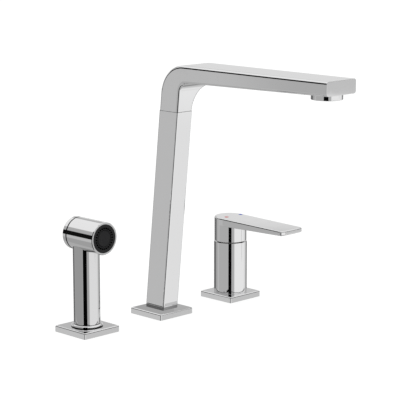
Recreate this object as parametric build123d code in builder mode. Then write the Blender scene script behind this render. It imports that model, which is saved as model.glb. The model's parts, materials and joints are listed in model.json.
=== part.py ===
from build123d import *
from math import acos, degrees, radians, tan
import os

# Kitchen faucet in three deck pieces: hand spray, swivelling spout and lever valve. Millimetres.
# Origin: middle of the spout's deck hole, level with the deck's top face.
# +X runs along the row to the lever valve, -Y points to the user, +Z is up.

# the row on the deck
spray_x = -112.0
valve_x = 112.0
deck_thickness = 20.0

# clearances
fit_gap = 0.1  # between pieces that are fixed together
run_gap = 0.05  # round a shaft that turns or slides in its hole
rest_gap = 0.3  # between pieces that move past each other

# square cover plates
plate_size = 50.0
plate_height = 7.0
plate_rim = 2.5
plate_corner = 1.4
plate_edge = 1.4
seal_height = 3.0

# clamp under the deck
washer_radius = 22.0
rubber_height = 2.0
steel_height = 1.5
nut_height = 8.0
nut_wall = 4.0
nut_edge = 1.0
shank_tail = 10.0
thread_pitch = 1.5
thread_depth = 0.8
thread_start = 4.0  # plain length of shank below the deck's top

# spray sleeve: holder ring and hollow shank
spray_shank_radius = 14.0
holder_radius = 17.4
holder_height = 3.0
holder_edge = 2.2
holder_gap = 0.6  # height of the shadow gap below the ring
sleeve_bore = 11.3
liner_bore = 9.9
liner_flange_radius = 13.5
liner_flange = 1.0
liner_overhang = 1.5

# hand spray
handle_radius = 14.5
handle_wall = 2.2
head_height = 108.2
head_radius = 17.85
head_front = -30.2
head_back = 11.4
head_wall = 3.05
head_bulkhead = 2.0
head_edge = 0.5
face_radius = 15.6
face_recess = 0.2
face_thickness = 3.0
face_groove_radius = 9.0
face_groove = 0.6
nozzle_ring_radius = 11.3
nozzle_radius = 0.6
nozzle_count = 24
button_gap = 1.8
button_length = 5.6
button_end = 2.5
button_skirt = 2.35
button_edge = 1.0
collar_wall = 5.0
collar_length = 3.3
tail_radius = 9.6
tail_drop = 24.0
tail_plug = 14.0
swivel_radius = 5.0
tail_step = 6.0  # height of the step inside the tail that the nipple's head hangs on
check_radius = 7.0
check_length = 13.0
check_bore = 3.5
nipple_head = 1.7
nipple_head_radius = 6.3
nipple_collar = 4.5
nipple_collar_radius = 8.0
hose_thread_radius = 7.5
hose_thread_length = 12.0
nipple_bore = 3.0
hand_tube_radius = 5.0
hand_tube_wall = 1.0
cage_radius = 9.0
cage_wall = 2.5
cage_seat = 2.0
cage_reach = 12.0
seat_bore = 4.0
poppet_radius = 6.0
poppet_thickness = 2.0
plunger_radius = 2.5
spring_radius = 6.5
spring_wire = 1.3

# spout shank and its post
spout_shank_radius = 14.0
gasket_height = 1.5
flange_height = 3.0
flange_radius = 21.0
post_radius = 7.0
post_bore = 4.0
bush_wall = 1.55
bush_height = 12.0
bush_start = 1.0
grub_height = 28.5
grub_radius = 2.5
grub_tip_radius = 1.3
grub_socket = 1.25
groove_depth = 1.2
groove_width = 3.4
o_ring_heights = (34.0, 38.5)
o_ring_wire = 1.4
o_ring_slot = 2.0
post_top = 42.0
socket_chamber = 5.0
socket_roof = 6.0

# diverter in the spout shank
diverter_radius = 11.5
diverter_chamber = 24.0
port_plug = 14.0
port_radius = 4.0
port_depth = 10.0
port_spread = 5.6
piston_cup = 8.0
piston_cup_radius = 9.0
piston_radius = 7.5
piston_thickness = 3.0
piston_stem_radius = 2.0
diverter_roof = 2.0
diverter_flow_radius = 1.5
diverter_flow_ring = 4.6

# spout
spout_lean = 6.1  # degrees, towards the user
foot_height = 4.0
column_width = 23.0
column_depth = 29.4
column_edge = 1.8
spout_wall = 1.5
arm_top = 287.3
seam_drop = 51.8  # the column's upper end below the arm's top
arm_width = 45.9
arm_reach = 254.0
arm_root_height = 18.8
arm_root_at = 58.0  # distance from the post's axis where the arm's underside starts
arm_tip_height = 15.5
arm_end_wall = 2.0
arm_edge = 3.0
arm_end_edge = 0.5
seam_groove = 0.35  # height of the groove in the seam
seam_depth = 0.7
bend_outer = 35.0
bend_inner = 11.0
flare_radius = 28.5
coupler_wall = 2.0
coupler_half = 10.0
tube_radius = 4.0
tube_wall = 1.0
tube_drop = 7.8  # the tube's middle below the arm's top
tube_bend = 20.0
tube_sweep = 100.0
tube_turn = 110.0  # distance from the post's axis where the tube is in the arm's middle

# aerator
aerator_inset = 19.2
aerator_radius = 16.5
aerator_height = 5.1
aerator_edge = 0.3
aerator_thread_radius = 10.1
aerator_thread_length = 6.0
aerator_bore = 9.0
aerator_seal_height = 1.2
aerator_socket_size = 25.0
screen_recess = 0.8
screen_thickness = 2.0
screen_hole_radius = 0.75
screen_rings = 3
screen_pitch = 2.4
screen_sides = 6  # holes in the first ring round the middle one

# lever valve
valve_shank_radius = 16.0
valve_shank_bore = 12.6
body_radius = 19.35
body_top = 67.7
body_edge = 0.3
base_socket = 5.0
inlet_circle = 7.2
channel_radius = 2.5
cartridge_floor = 48.0
cartridge_flange = 3.0
cartridge_flange_radius = 13.0
cartridge_radius = 11.2
cartridge_wall = 1.2
cartridge_base = 12.0
cartridge_nut_height = 5.5
cartridge_lip = 1.2
seal_ring_radius = 3.6
seal_ring_height = 1.0
disc_thickness = 4.0
disc_port_radius = 2.0
disc_gap = 0.05
moving_disc_radius = 6.8
moving_disc_thickness = 3.95
boss_radius = 4.5
boss_cover = 1.3
pivot_height = 78.0
ball_drop = 7.0
ball_radius = 2.4
ball_gap = 0.3
stem_radius = 1.8
stem_hub_radius = 2.5
stem_top_radius = 2.8
pin_radius = 1.2
rotor_base = 7.7
rotor_neck_radius = 6.5
rotor_neck_top = 2.5
disc_travel = 3.1

# lever
dish_radius = 21.5
cap_radius = 18.8
cap_bottom = 69.0
cap_wall = 1.8
cap_roof = 6.2
hub_radius = 6.5
hub_lift = 6.2
lever_top = 97.16
lever_fall = 0.019
lever_under = 87.6
lever_under_rise = 0.022
blade_reach = 98.3
blade_tip_width = 36.0
blade_tip_bow = 150.0
blade_tip_corner = 2.5
lever_edge = 1.5
lever_grub_height = 87.2
lever_grub_radius = 2.0
lever_grub_length = 3.2
mark_radius = 2.4
mark_depth = 0.6
hot_mark_at = (-8.1, -1.5)
cold_mark_at = (14.7, -2.3)

# worked out from the sizes above
steel_top = -deck_thickness - rubber_height
nut_top = steel_top - steel_height
nut_bottom = nut_top - nut_height
shank_bottom = nut_bottom - shank_tail
seam_height = arm_top - seam_drop
ring_top = plate_height + holder_height
handle_bottom = ring_top + rest_gap
tail_bottom = handle_bottom - tail_drop
flange_top = gasket_height + flange_height
foot_bottom = plate_height + rest_gap
foot_top = plate_height + foot_height
lean = tan(radians(spout_lean))
half_width = column_width / 2
half_depth = column_depth / 2
arm_right = arm_width - half_width
arm_middle = arm_right - arm_width / 2
os.makedirs("parts", exist_ok=True)


def upright(x, y=0.0):
    """Upright plane through the axis at x, y: across it, then up."""
    return Plane(origin=(x, y, 0), x_dir=(1, 0, 0), z_dir=(0, -1, 0))


def turned(x, outline, y=0.0):
    """Piece turned about the upright axis at x, y, from points of radius and height."""
    with BuildPart() as piece:
        with BuildSketch(upright(x, y)):
            with BuildLine():
                Polyline(*outline, close=True)
            make_face()
        revolve(axis=Axis((x, y, 0), (0, 0, 1)))
    return piece


def turned_level(outline):
    """Piece turned about the spray head's level axis, from points of y and radius."""
    with BuildPart() as piece:
        with BuildSketch(Plane(origin=(spray_x, 0, head_height), x_dir=(0, 1, 0), z_dir=(1, 0, 0))):
            with BuildLine():
                Polyline(*outline, close=True)
            make_face()
        revolve(axis=Axis((spray_x, 0, head_height), (0, 1, 0)))
    return piece


def flat_ring(x, inner, outer, bottom, top, y=0.0):
    """Flat ring round the upright axis at x, y."""
    with BuildPart() as piece:
        with BuildSketch(Plane((x, y, bottom))):
            Circle(outer)
            Circle(inner, mode=Mode.SUBTRACT)
        extrude(amount=top - bottom)
    return piece


def thread_outline(radius):
    """Points down the outside of a shank, with one groove for each pitch of its thread."""
    start = -thread_start
    count = int((start - shank_bottom) / thread_pitch)
    points = [(radius, start)]
    for turn in range(count):
        crest = start - turn * thread_pitch
        points.append((radius - thread_depth, crest - thread_pitch / 2))
        points.append((radius, crest - thread_pitch))
    points.append((radius - thread_depth, shank_bottom))
    return points


def cover_plate(x, hole, recess):
    """Square plate on the deck, hollow below for its seal."""
    with BuildPart() as piece:
        with BuildSketch(Plane((x, 0, 0))):
            Rectangle(plate_size, plate_size)
        extrude(amount=plate_height)
        fillet(piece.edges().filter_by(Axis.Z), radius=plate_corner)
        fillet(piece.edges().group_by(Axis.Z)[-1], radius=plate_edge)
        with BuildSketch(Plane((x, 0, 0))):
            Rectangle(plate_size - 2 * plate_rim, plate_size - 2 * plate_rim)
        extrude(amount=recess, mode=Mode.SUBTRACT)
        with BuildSketch(Plane((x, 0, recess))):
            Circle(hole)
        extrude(amount=plate_height - recess, mode=Mode.SUBTRACT)
    return piece


def square_seal(x, hole):
    """Rubber seal that fills the recess of a cover plate."""
    side = plate_size - 2 * plate_rim - 2 * fit_gap
    with BuildPart() as piece:
        with BuildSketch(Plane((x, 0, 0))):
            Rectangle(side, side)
            Circle(hole, mode=Mode.SUBTRACT)
        extrude(amount=seal_height)
    return piece


def clamp_nut(x, shank_radius):
    """Hexagon nut below the washers, bored to the thread's crests."""
    with BuildPart() as piece:
        with BuildSketch(Plane((x, 0, nut_bottom))):
            RegularPolygon(shank_radius + nut_wall, 6, major_radius=False)
        extrude(amount=nut_height)
        corners = shank_radius + nut_wall + nut_edge
        with BuildSketch(Plane((x, 0, nut_bottom))):
            Circle(corners)
        extrude(amount=nut_height, mode=Mode.INTERSECT)
        with BuildSketch(Plane((x, 0, nut_bottom))):
            Circle(shank_radius + run_gap)
        extrude(amount=nut_height, mode=Mode.SUBTRACT)
    return piece


def clamp_rings(x, shank_radius):
    """The rubber washer against the deck and the steel one below it."""
    hole = shank_radius + fit_gap
    rubber = flat_ring(x, hole, washer_radius, steel_top, -deck_thickness)
    steel = flat_ring(x, hole, washer_radius, nut_top, steel_top)
    return rubber, steel


def spout_middle(height):
    """The y of the leaning column's middle at a height."""
    return -lean * (height - plate_height)


def lean_block(across, deep, bottom, top):
    """Block that leans with the column; across and deep are half sizes."""
    with BuildPart() as piece:
        with BuildSketch(Plane.YZ.offset(-across)):
            with BuildLine():
                Polyline(
                    (spout_middle(bottom) - deep, bottom),
                    (spout_middle(bottom) + deep, bottom),
                    (spout_middle(top) + deep, top),
                    (spout_middle(top) - deep, top),
                    close=True,
                )
            make_face()
        extrude(amount=2 * across)
    return piece


# ---- spray station
spray_plate = cover_plate(spray_x, spray_shank_radius + rest_gap, seal_height)
spray_plate_seal = square_seal(spray_x, spray_shank_radius + rest_gap)
liner_seat = liner_flange_radius + fit_gap
spray_sleeve = turned(
    spray_x,
    [
        (sleeve_bore, shank_bottom),
        (sleeve_bore, ring_top - liner_flange),
        (liner_seat, ring_top - liner_flange),
        (liner_seat, ring_top),
        (holder_radius, ring_top),
        (holder_radius, plate_height + holder_gap),
        (holder_radius - holder_gap, plate_height + holder_gap),
        (holder_radius - holder_gap, plate_height),
        (spray_shank_radius, plate_height),
    ]
    + thread_outline(spray_shank_radius),
)
with spray_sleeve:
    rim = spray_sleeve.edges().filter_by(GeomType.CIRCLE).group_by(Axis.Z)[-1].sort_by(SortBy.RADIUS)[-1]
    fillet(rim, radius=holder_edge)
spray_liner = turned(
    spray_x,
    [
        (liner_bore, shank_bottom - liner_overhang),
        (liner_bore, ring_top),
        (liner_flange_radius, ring_top),
        (liner_flange_radius, ring_top - liner_flange),
        (sleeve_bore - fit_gap, ring_top - liner_flange),
        (sleeve_bore - fit_gap, shank_bottom - liner_overhang),
    ],
)
spray_rubber_washer, spray_steel_washer = clamp_rings(spray_x, spray_shank_radius)
spray_nut = clamp_nut(spray_x, spray_shank_radius)

# ---- hand spray: water way from the hose thread upwards
handle_bore = handle_radius - handle_wall
tail_top = handle_bottom + tail_plug
handset_tail = turned(
    spray_x,
    [
        (swivel_radius, tail_bottom),
        (swivel_radius, tail_step),
        (check_radius, tail_step),
        (check_radius, tail_top),
        (handle_bore - fit_gap, tail_top),
        (handle_bore - fit_gap, handle_bottom),
        (tail_radius, handle_bottom),
        (tail_radius, tail_bottom),
    ],
)
nipple_collar_bottom = tail_bottom - rest_gap - nipple_collar
nipple_top = tail_step + rest_gap + nipple_head
hose_nipple = turned(
    spray_x,
    [
        (nipple_bore, nipple_collar_bottom - hose_thread_length),
        (nipple_bore, nipple_top),
        (nipple_head_radius, nipple_top),
        (nipple_head_radius, tail_step + rest_gap),
        (swivel_radius - run_gap, tail_step + rest_gap),
        (swivel_radius - run_gap, tail_bottom - rest_gap),
        (nipple_collar_radius, tail_bottom - rest_gap),
        (nipple_collar_radius, nipple_collar_bottom),
        (hose_thread_radius, nipple_collar_bottom),
        (hose_thread_radius, nipple_collar_bottom - hose_thread_length),
    ],
)
check_bottom = nipple_top + rest_gap
check_top = check_bottom + check_length
handset_check_valve = flat_ring(spray_x, check_bore, check_radius - fit_gap, check_bottom, check_top)
with BuildPart() as handset_tube:
    with BuildSketch(Plane((spray_x, 0, check_top))):
        Circle(hand_tube_radius)
        Circle(hand_tube_radius - hand_tube_wall, mode=Mode.SUBTRACT)
    extrude(amount=head_height - check_top)
    with Locations((spray_x, 0, head_height)):
        Cylinder(cage_radius, 2 * head_radius, rotation=(90, 0, 0), mode=Mode.SUBTRACT)

# ---- hand spray: handle, head and what the head holds
with BuildPart() as handset_handle:
    with BuildSketch(Plane((spray_x, 0, handle_bottom))):
        Circle(handle_radius)
    extrude(amount=head_height - handle_bottom)
    with BuildSketch(Plane((spray_x, 0, handle_bottom))):
        Circle(handle_bore)
    extrude(amount=head_height - handle_bottom, mode=Mode.SUBTRACT)
    with Locations((spray_x, 0, head_height)):
        Cylinder(head_radius, 4 * head_radius, rotation=(90, 0, 0), mode=Mode.SUBTRACT)
    with BuildSketch(Plane(origin=(spray_x, head_back, head_height), z_dir=(0, 1, 0))):
        Circle(head_radius + rest_gap)
    extrude(amount=head_radius, mode=Mode.SUBTRACT)
head_bore = head_radius - head_wall
face_front = head_front + face_recess
face_back = face_front + face_thickness
with BuildPart() as spray_head:
    add(
        turned_level(
            [
                (head_front, face_radius + fit_gap),
                (head_front, head_radius - head_edge),
                (head_front + head_edge, head_radius),
                (head_back, head_radius),
                (head_back, plunger_radius + run_gap),
                (head_back - head_bulkhead, plunger_radius + run_gap),
                (head_back - head_bulkhead, head_bore),
                (face_back, head_bore),
                (face_back, face_radius + fit_gap),
            ]
        ).part
    )
    with BuildSketch(Plane((spray_x, 0, head_height))):
        Circle(hand_tube_radius + fit_gap)
    extrude(amount=-head_radius, mode=Mode.SUBTRACT)
with BuildPart() as spray_face:
    add(
        turned_level(
            [
                (face_back, 0),
                (face_front, 0),
                (face_front, face_groove_radius - face_groove),
                (face_front + face_groove, face_groove_radius),
                (face_front, face_groove_radius + face_groove),
                (face_front, face_radius),
                (face_back, face_radius),
            ]
        ).part
    )
    with BuildSketch(Plane(origin=(spray_x, face_front, head_height), z_dir=(0, 1, 0))):
        with PolarLocations(nozzle_ring_radius, nozzle_count):
            Circle(nozzle_radius)
    extrude(amount=face_thickness, mode=Mode.SUBTRACT)
cage_back = head_back - head_bulkhead
with BuildPart() as spray_valve_cage:
    add(
        turned_level(
            [
                (-cage_reach, seat_bore),
                (-cage_reach, cage_radius),
                (cage_back, cage_radius),
                (cage_back, cage_radius - cage_wall),
                (cage_seat - cage_reach, cage_radius - cage_wall),
                (cage_seat - cage_reach, seat_bore),
            ]
        ).part
    )
    with BuildSketch(Plane((spray_x, 0, head_height))):
        Circle(hand_tube_radius - hand_tube_wall)
    extrude(amount=-cage_radius, mode=Mode.SUBTRACT)
button_front = head_back + button_gap
button_back = button_front + button_length
button_bore = head_radius - button_skirt
spray_button = turned_level(
    [
        (button_front, button_bore),
        (button_front, head_radius),
        (button_back - button_edge, head_radius),
        (button_back, head_radius - button_edge),
        (button_back, 0),
        (button_back - button_end, 0),
        (button_back - button_end, button_bore),
    ]
)
collar_radius = button_bore - rest_gap
rear_collar = turned_level(
    [
        (head_back, collar_radius - collar_wall),
        (head_back, collar_radius),
        (head_back + collar_length, collar_radius),
        (head_back + collar_length, collar_radius - collar_wall),
    ]
)
poppet_back = -cage_reach - rest_gap
valve_plunger = turned_level(
    [
        (poppet_back - poppet_thickness, 0),
        (poppet_back - poppet_thickness, poppet_radius),
        (poppet_back, poppet_radius),
        (poppet_back, plunger_radius),
        (button_back - button_end, plunger_radius),
        (button_back - button_end, 0),
    ]
)
button_spring = turned_level(
    [
        (head_back, spring_radius - spring_wire),
        (head_back, spring_radius),
        (button_back - button_end, spring_radius),
        (button_back - button_end, spring_radius - spring_wire),
    ]
)

# ---- spout station
spout_plate = cover_plate(0, post_radius + rest_gap, flange_top)
spout_plate_seal = flat_ring(0, spout_shank_radius + rest_gap, flange_radius, 0, gasket_height)
groove_radius = post_radius - groove_depth
slot_radius = post_radius - o_ring_wire
post_outline = [
    (diverter_radius, shank_bottom),
    (diverter_radius, shank_bottom + diverter_chamber),
    (post_bore, shank_bottom + diverter_chamber),
    (post_bore, post_top),
    (post_radius, post_top),
]
for ring_height in reversed(o_ring_heights):
    post_outline += [
        (post_radius, ring_height + o_ring_slot / 2),
        (slot_radius, ring_height + o_ring_slot / 2),
        (slot_radius, ring_height - o_ring_slot / 2),
        (post_radius, ring_height - o_ring_slot / 2),
    ]
post_outline += [
    (post_radius, grub_height + groove_width / 2),
    (groove_radius, grub_height + groove_width / 2),
    (groove_radius, grub_height - groove_width / 2),
    (post_radius, grub_height - groove_width / 2),
    (post_radius, flange_top),
    (flange_radius, flange_top),
    (flange_radius, gasket_height),
    (spout_shank_radius, gasket_height),
]
spout_shank = turned(0, post_outline + thread_outline(spout_shank_radius))
spout_rubber_washer, spout_steel_washer = clamp_rings(0, spout_shank_radius)
spout_nut = clamp_nut(0, spout_shank_radius)
with BuildPart() as spout_o_rings:
    for ring_height in o_ring_heights:
        with Locations((0, 0, ring_height)):
            Torus(slot_radius + o_ring_wire / 2, o_ring_wire / 2)

# ---- diverter: two hose threads below, a piston that the water lifts above them
piston_floor = shank_bottom + port_plug
piston_roof = piston_floor + piston_cup
with BuildPart() as diverter_body:
    with BuildSketch(Plane((0, 0, shank_bottom))):
        Circle(diverter_radius - fit_gap)
    extrude(amount=port_plug + piston_cup + diverter_roof)
    with BuildSketch(Plane((0, 0, piston_floor))):
        Circle(piston_cup_radius)
    extrude(amount=piston_cup, mode=Mode.SUBTRACT)
    with BuildSketch(Plane((0, 0, shank_bottom))):
        with Locations((-port_spread, 0), (port_spread, 0)):
            Circle(port_radius)
    extrude(amount=port_depth, mode=Mode.SUBTRACT)
    with BuildSketch(Plane((0, 0, shank_bottom))):
        with Locations((-port_spread, 0), (port_spread, 0)):
            Circle(channel_radius)
    extrude(amount=port_plug, mode=Mode.SUBTRACT)
    with BuildSketch(Plane((0, 0, piston_roof))):
        Circle(piston_stem_radius + run_gap)
        with PolarLocations(diverter_flow_ring, 4):
            Circle(diverter_flow_radius)
    extrude(amount=diverter_roof, mode=Mode.SUBTRACT)
diverter_piston = turned(
    0,
    [
        (0, piston_floor),
        (0, piston_roof + diverter_roof),
        (piston_stem_radius, piston_roof + diverter_roof),
        (piston_stem_radius, piston_floor + piston_thickness),
        (piston_radius, piston_floor + piston_thickness),
        (piston_radius, piston_floor),
    ],
)

# ---- spout: foot, brass socket on the post, bush and locking screw
with BuildPart() as spout_foot:
    add(lean_block(half_width, half_depth, foot_bottom, foot_top).part)
    fillet(spout_foot.edges().filter_by(lambda edge: abs((edge % 0.5).Z) > 0.5), radius=column_edge)
    with BuildSketch(Plane((0, 0, foot_bottom))):
        Circle(post_radius + rest_gap)
    extrude(amount=foot_height, mode=Mode.SUBTRACT)
socket_top = post_top + socket_chamber + socket_roof
bush_bottom = foot_top + bush_start
bush_radius = post_radius + bush_wall
inner_width = half_width - spout_wall
inner_depth = half_depth - spout_wall
tube_start = socket_top - socket_roof + run_gap
with BuildPart() as spout_socket:
    add(lean_block(inner_width - fit_gap, inner_depth - fit_gap, foot_top, socket_top).part)
    with BuildSketch(Plane((0, 0, foot_top))):
        Circle(bush_radius + fit_gap)
    extrude(amount=bush_start + bush_height, mode=Mode.SUBTRACT)
    with BuildSketch(Plane((0, 0, foot_top))):
        Circle(post_radius + run_gap)
    extrude(amount=post_top + socket_chamber - foot_top, mode=Mode.SUBTRACT)
    with BuildSketch(Plane(origin=(0, spout_middle(tube_start), tube_start), z_dir=(0, -lean, 1))):
        Circle(tube_radius + fit_gap)
    extrude(amount=2 * socket_roof, mode=Mode.SUBTRACT)
    with BuildSketch(Plane(origin=(0, 0, grub_height), z_dir=(0, 1, 0))):
        Circle(grub_radius + fit_gap)
    extrude(amount=column_depth, mode=Mode.SUBTRACT)
swivel_bush = flat_ring(0, post_radius + run_gap, bush_radius, bush_bottom, bush_bottom + bush_height)
grub_seat = spout_middle(grub_height) + half_depth - rest_gap
grub_shoulder = post_radius + 2 * rest_gap
with BuildPart() as spout_grub_screw:
    with BuildSketch(Plane(origin=(0, groove_radius + rest_gap, grub_height), z_dir=(0, 1, 0))):
        Circle(grub_tip_radius)
    extrude(amount=grub_shoulder - groove_radius - rest_gap)
    with BuildSketch(Plane(origin=(0, grub_shoulder, grub_height), z_dir=(0, 1, 0))):
        Circle(grub_radius)
    extrude(amount=grub_seat - grub_shoulder)
    with BuildSketch(Plane(origin=(0, grub_seat, grub_height), z_dir=(0, -1, 0))):
        RegularPolygon(grub_socket, 6)
    extrude(amount=grub_radius, mode=Mode.SUBTRACT)

# ---- spout: leaning column, with a groove round its upper end for the seam
groove_low = seam_height - seam_groove
with BuildPart() as seam_ring:
    add(lean_block(half_width + seam_depth, half_depth + seam_depth, groove_low, seam_height).part)
    groove_block = lean_block(half_width - seam_depth, half_depth - seam_depth, groove_low, seam_height)
    add(groove_block.part, mode=Mode.SUBTRACT)
with BuildPart() as spout_column:
    add(lean_block(half_width, half_depth, foot_top, seam_height).part)
    fillet(spout_column.edges().filter_by(lambda edge: abs((edge % 0.5).Z) > 0.5), radius=column_edge)
    add(lean_block(inner_width, inner_depth, foot_top, seam_height).part, mode=Mode.SUBTRACT)
    add(seam_ring.part, mode=Mode.SUBTRACT)
    with BuildSketch(Plane(origin=(0, 0, grub_height), z_dir=(0, 1, 0))):
        Circle(grub_radius + fit_gap)
    extrude(amount=column_depth, mode=Mode.SUBTRACT)
with BuildPart() as spout_coupler:
    coupler_width = inner_width - fit_gap
    coupler_depth = inner_depth - fit_gap
    coupler_low = seam_height - coupler_half
    coupler_high = seam_height + coupler_half
    add(lean_block(coupler_width, coupler_depth, coupler_low, coupler_high).part)
    add(
        lean_block(
            coupler_width - coupler_wall, coupler_depth - coupler_wall, coupler_low, coupler_high
        ).part,
        mode=Mode.SUBTRACT,
    )

# ---- spout: arm. Seen from the side it bends over the column; seen from the front it
# flares from the column's width to the arm's on the lever's side alone.
arm_taper = (arm_root_height - arm_tip_height) / (arm_reach - arm_root_at)


def arm_under(y):
    """Height of the arm's underside."""
    return arm_top - arm_tip_height - arm_taper * (y + arm_reach)


def arm_form(inset, end_inset):
    """The arm's outside at inset 0, or the space inside its walls."""
    deep = half_depth - inset
    top = arm_top - inset
    end = -arm_reach + end_inset
    under_base = arm_under(spout_middle(0) - deep) + inset
    front_corner = under_base / (1 - arm_taper * lean)
    with BuildPart() as form:
        with BuildSketch(Plane.YZ.offset(-half_width)):
            with BuildLine():
                side = FilletPolyline(
                    (spout_middle(seam_height) + deep, seam_height),
                    (spout_middle(top) + deep, top),
                    (end, top),
                    (end, arm_under(end) + inset),
                    (spout_middle(front_corner) - deep, front_corner),
                    (spout_middle(seam_height) - deep, seam_height),
                    radius=[bend_outer - inset, 0, 0, bend_inner + inset],
                )
                Line(side @ 1, side @ 0)
            make_face()
        extrude(amount=arm_width)
        left = inset - half_width
        right = arm_right - inset
        flare_centre = half_width + flare_radius
        turn = degrees(acos((flare_centre - right) / (flare_radius + inset)))
        with BuildSketch(Plane.XZ.offset(-half_depth)):
            with BuildLine():
                flare = CenterArc((flare_centre, seam_height), flare_radius + inset, 180, -turn)
                Polyline(flare @ 1, (right, arm_top), (left, arm_top), (left, seam_height), flare @ 0)
            make_face()
        extrude(amount=arm_reach + column_depth, mode=Mode.INTERSECT)
    return form


aerator_y = aerator_inset - arm_reach
socket_half = aerator_socket_size / 2
with BuildPart() as spout_arm:
    add(arm_form(0, 0).part)
    rim_edges = spout_arm.edges().filter_by(lambda edge: (edge @ 0.5).Z > seam_height + arm_edge)
    fillet(rim_edges - rim_edges.group_by(Axis.Y)[0], radius=arm_edge)
    fillet(spout_arm.edges().group_by(Axis.Y)[0], radius=arm_end_edge)
    add(arm_form(spout_wall, arm_end_wall).part, mode=Mode.SUBTRACT)
    with BuildSketch(Plane((arm_middle, aerator_y, arm_under(aerator_y) + 2 * spout_wall))):
        Circle(aerator_thread_radius + rest_gap)
    extrude(amount=-4 * spout_wall, mode=Mode.SUBTRACT)

# ---- water tube from the post's chamber to the aerator
tube_height = arm_top - tube_drop
with BuildPart() as spout_water_tube:
    with BuildLine() as tube_route:
        FilletPolyline(
            (0, spout_middle(tube_start), tube_start),
            (0, spout_middle(tube_height), tube_height),
            (arm_middle, -tube_turn, tube_height),
            (arm_middle, aerator_y + socket_half, tube_height),
            radius=[tube_bend, tube_sweep],
        )
    with BuildSketch(Plane(origin=tube_route.line @ 0, z_dir=tube_route.line % 0)):
        Circle(tube_radius)
        Circle(tube_radius - tube_wall, mode=Mode.SUBTRACT)
    sweep()

# ---- aerator
socket_bottom = arm_under(aerator_y - socket_half) + spout_wall
aerator_top = arm_under(aerator_y + aerator_radius) - run_gap
aerator_bottom = aerator_top - aerator_height
thread_top = socket_bottom + aerator_thread_length
with BuildPart() as aerator_socket:
    with BuildSketch(Plane((arm_middle, aerator_y, socket_bottom))):
        Rectangle(aerator_socket_size, aerator_socket_size)
    extrude(amount=arm_top - spout_wall - socket_bottom)
    with BuildSketch(Plane((arm_middle, aerator_y, socket_bottom))):
        Circle(aerator_thread_radius + fit_gap)
    extrude(amount=aerator_thread_length, mode=Mode.SUBTRACT)
    with BuildSketch(Plane(origin=(arm_middle, aerator_y, tube_height), z_dir=(0, 1, 0))):
        Circle(tube_radius - tube_wall)
    extrude(amount=socket_half, mode=Mode.SUBTRACT)
housing_top = thread_top - aerator_seal_height
aerator_seal = flat_ring(
    arm_middle, aerator_bore, aerator_thread_radius, housing_top, thread_top, aerator_y
)
aerator_housing = turned(
    arm_middle,
    [
        (aerator_bore, aerator_bottom),
        (aerator_bore, housing_top),
        (aerator_thread_radius, housing_top),
        (aerator_thread_radius, aerator_top),
        (aerator_radius, aerator_top),
        (aerator_radius, aerator_bottom + aerator_edge),
        (aerator_radius - aerator_edge, aerator_bottom),
    ],
    aerator_y,
)
core_bottom = aerator_bottom + screen_recess
with BuildPart() as aerator_core:
    with BuildSketch(Plane((arm_middle, aerator_y, core_bottom))):
        Circle(aerator_bore - fit_gap)
    extrude(amount=housing_top - core_bottom)
    with BuildSketch(Plane((arm_middle, aerator_y, core_bottom + screen_thickness))):
        Circle(aerator_bore - fit_gap - spout_wall)
    extrude(amount=housing_top - core_bottom - screen_thickness, mode=Mode.SUBTRACT)
    with BuildSketch(Plane((arm_middle, aerator_y, core_bottom))):
        Circle(screen_hole_radius)
        for ring_number in range(1, screen_rings + 1):
            with PolarLocations(ring_number * screen_pitch, screen_sides * ring_number):
                Circle(screen_hole_radius)
    extrude(amount=screen_thickness, mode=Mode.SUBTRACT)

# ---- valve station
valve_plate = cover_plate(valve_x, valve_shank_radius + rest_gap, seal_height)
valve_plate_seal = square_seal(valve_x, valve_shank_radius + rest_gap)
valve_rubber_washer, valve_steel_washer = clamp_rings(valve_x, valve_shank_radius)
valve_nut = clamp_nut(valve_x, valve_shank_radius)
base_top = plate_height + base_socket
valve_shank = turned(
    valve_x,
    [
        (valve_shank_bore, shank_bottom),
        (valve_shank_bore, base_top),
        (valve_shank_radius, base_top),
    ]
    + thread_outline(valve_shank_radius),
)
inlet_angles = (210, 330, 90)  # hot, cold and mixed water
with BuildPart() as valve_body:
    with BuildSketch(Plane((valve_x, 0, plate_height))):
        Circle(body_radius)
    extrude(amount=body_top - plate_height)
    fillet(valve_body.edges().group_by(Axis.Z)[0], radius=body_edge)
    with BuildSketch(Plane((valve_x, 0, plate_height))):
        Circle(valve_shank_radius + fit_gap)
    extrude(amount=base_socket, mode=Mode.SUBTRACT)
    with BuildSketch(Plane((valve_x, 0, base_top))):
        for angle in inlet_angles:
            with PolarLocations(inlet_circle, 1, start_angle=angle):
                Circle(port_radius)
    extrude(amount=port_depth, mode=Mode.SUBTRACT)
    with BuildSketch(Plane((valve_x, 0, base_top))):
        for angle in inlet_angles:
            with PolarLocations(inlet_circle, 1, start_angle=angle):
                Circle(channel_radius)
    extrude(amount=cartridge_floor - base_top, mode=Mode.SUBTRACT)
    with BuildSketch(Plane((valve_x, 0, cartridge_floor))):
        Circle(cartridge_flange_radius + fit_gap)
    extrude(amount=body_top - cartridge_floor, mode=Mode.SUBTRACT)
    with Locations((valve_x, 0, pivot_height)):
        Sphere(dish_radius, mode=Mode.SUBTRACT)

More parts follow.
